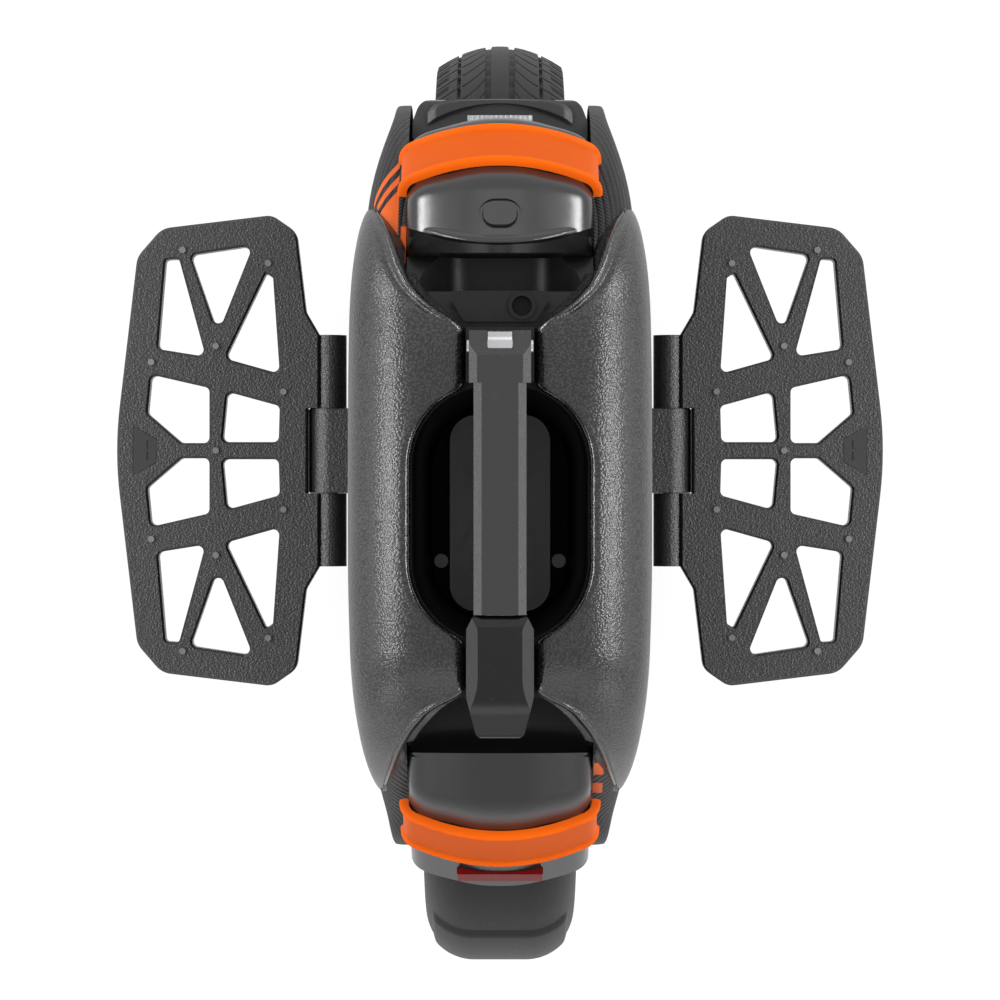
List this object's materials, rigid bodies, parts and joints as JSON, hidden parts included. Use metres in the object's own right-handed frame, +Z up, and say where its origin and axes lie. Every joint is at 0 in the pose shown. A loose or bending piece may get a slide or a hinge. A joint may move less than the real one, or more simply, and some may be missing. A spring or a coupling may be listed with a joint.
{
  "type": "electric unicycle",
  "caption": "Electric unicycle with a hub-motor wheel in a padded shell, folding cast pedals, a fold-up telescopic handle over a hand well, orange straps and a rear mudguard.",
  "frame": {"origin": "point of the tyre on the ground, straight under the axle", "axes": "+Z up, +Y to the front of the machine, +X to the rider's right along the axle"},
  "size_m": [0.4032, 0.463, 0.5399],
  "materials": {
    "tyre_rubber": "moulded tread",
    "rim_alloy": "black anodised",
    "motor_paint": "satin black",
    "magnet": "nickel plated",
    "steel": "zinc plated",
    "polished_steel": "polished",
    "copper": "enamelled wire",
    "lamination": "varnished",
    "arch_plastic": "matte",
    "shell_plastic": "knurled",
    "cover_plastic": "fine matte",
    "panel_plastic": "grey matte",
    "pad_foam": "pebbled foam",
    "strap_silicone": "satin orange",
    "clear_lens": "fluted",
    "lamp_reflector": "silvered",
    "red_lens": "smooth",
    "cast_alloy": "black textured",
    "hanger_alloy": "anodised",
    "handle_paint": "satin black",
    "tube_alloy": "anodised",
    "button_plastic": "smooth",
    "port_metal": "plated",
    "battery_wrap": "shrink wrap",
    "circuit_board": "solder mask",
    "bare_alloy": "extruded",
    "cable_rubber": "smooth"
  },
  "bodies": {
    "chassis": {"axle": "steel", "axle_nuts": "steel", "stator_core": "lamination", "stator_windings": "copper", "wheel_arch": "arch_plastic", "hanger_bolts": "steel", "shell_screws": "steel", "deck_frame": "cover_plastic", "hand_well": "arch_plastic", "well_floor": "panel_plastic", "port_panel": "cover_plastic", "charge_port": "port_metal", "front_cover": "cover_plastic", "rear_cover": "cover_plastic", "front_fender": "arch_plastic", "mudguard": "arch_plastic", "headlight_lens": "clear_lens", "headlight_housing": "lamp_reflector", "tail_light": "red_lens", "handle_hinge": "polished_steel", "heat_sink": "bare_alloy", "control_board": "circuit_board", "speaker": "arch_plastic", "motor_cable": "cable_rubber", "front_strap": "strap_silicone", "rear_strap": "strap_silicone", "pedal_hanger_right": "hanger_alloy", "pedal_hanger_left": "hanger_alloy", "pedal_bracket_right": "cast_alloy", "pedal_bracket_left": "cast_alloy", "side_shell_right": "shell_plastic", "side_shell_left": "shell_plastic", "leg_pad_right": "pad_foam", "leg_pad_left": "pad_foam", "battery_pack_right": "battery_wrap", "battery_pack_left": "battery_wrap"},
    "wheel": {"tyre": "tyre_rubber", "rim": "rim_alloy", "rotor_magnets": "magnet", "motor_cover_screws": "steel", "valve_stem": "port_metal", "motor_cover_right": "motor_paint", "motor_cover_left": "motor_paint", "wheel_bearing_right": "steel", "wheel_bearing_left": "steel"},
    "pedal_right": {"pedal_right": "cast_alloy", "pedal_pin_right": "steel", "pedal_studs_right": "steel", "pedal_insert_right": "button_plastic"},
    "pedal_left": {"pedal_left": "cast_alloy", "pedal_pin_left": "steel", "pedal_studs_left": "steel", "pedal_insert_left": "button_plastic"},
    "handle": {"handle_bar": "handle_paint", "handle_pin": "polished_steel"},
    "handle_stage": {"middle_tube": "tube_alloy"},
    "handle_grip": {"inner_tube": "tube_alloy", "handle_head": "handle_paint"},
    "handle_release": {"handle_release": "button_plastic"},
    "power_button": {"power_button": "button_plastic"}
  },
  "joints": [
    {"name": "wheel_spin", "type": "hinge", "parent": "chassis", "child": "wheel", "pos_m": [0, 0, 0.205], "axis": [-1, 0, 0], "continuous": true},
    {"name": "pedal_right_fold", "type": "hinge", "parent": "chassis", "child": "pedal_right", "pos_m": [0.09, 0, 0.133], "axis": [0, -1, 0], "range_deg": [0, 95]},
    {"name": "pedal_left_fold", "type": "hinge", "parent": "chassis", "child": "pedal_left", "pos_m": [-0.09, 0, 0.133], "axis": [0, 1, 0], "range_deg": [0, 95]},
    {"name": "handle_fold", "type": "hinge", "parent": "chassis", "child": "handle", "pos_m": [0, 0.041, 0.529], "axis": [-1, 0, 0], "range_deg": [0, 95]},
    {"name": "handle_stage_slide", "type": "slide", "parent": "handle", "child": "handle_stage", "axis": [0, -1, 0], "range_m": [0, 0.08]},
    {"name": "handle_grip_slide", "type": "slide", "parent": "handle_stage", "child": "handle_grip", "axis": [0, -1, 0], "range_m": [0, 0.08]},
    {"name": "handle_release_press", "type": "slide", "parent": "handle_grip", "child": "handle_release", "axis": [0, 0, 1], "range_m": [0, 0.002], "stiffness_N_per_m": 600, "springref_m": -0.001},
    {"name": "power_button_press", "type": "slide", "parent": "chassis", "child": "power_button", "axis": [0, -0.4679, -0.8838], "range_m": [0, 0.0015], "stiffness_N_per_m": 800, "springref_m": -0.001}
  ]
}
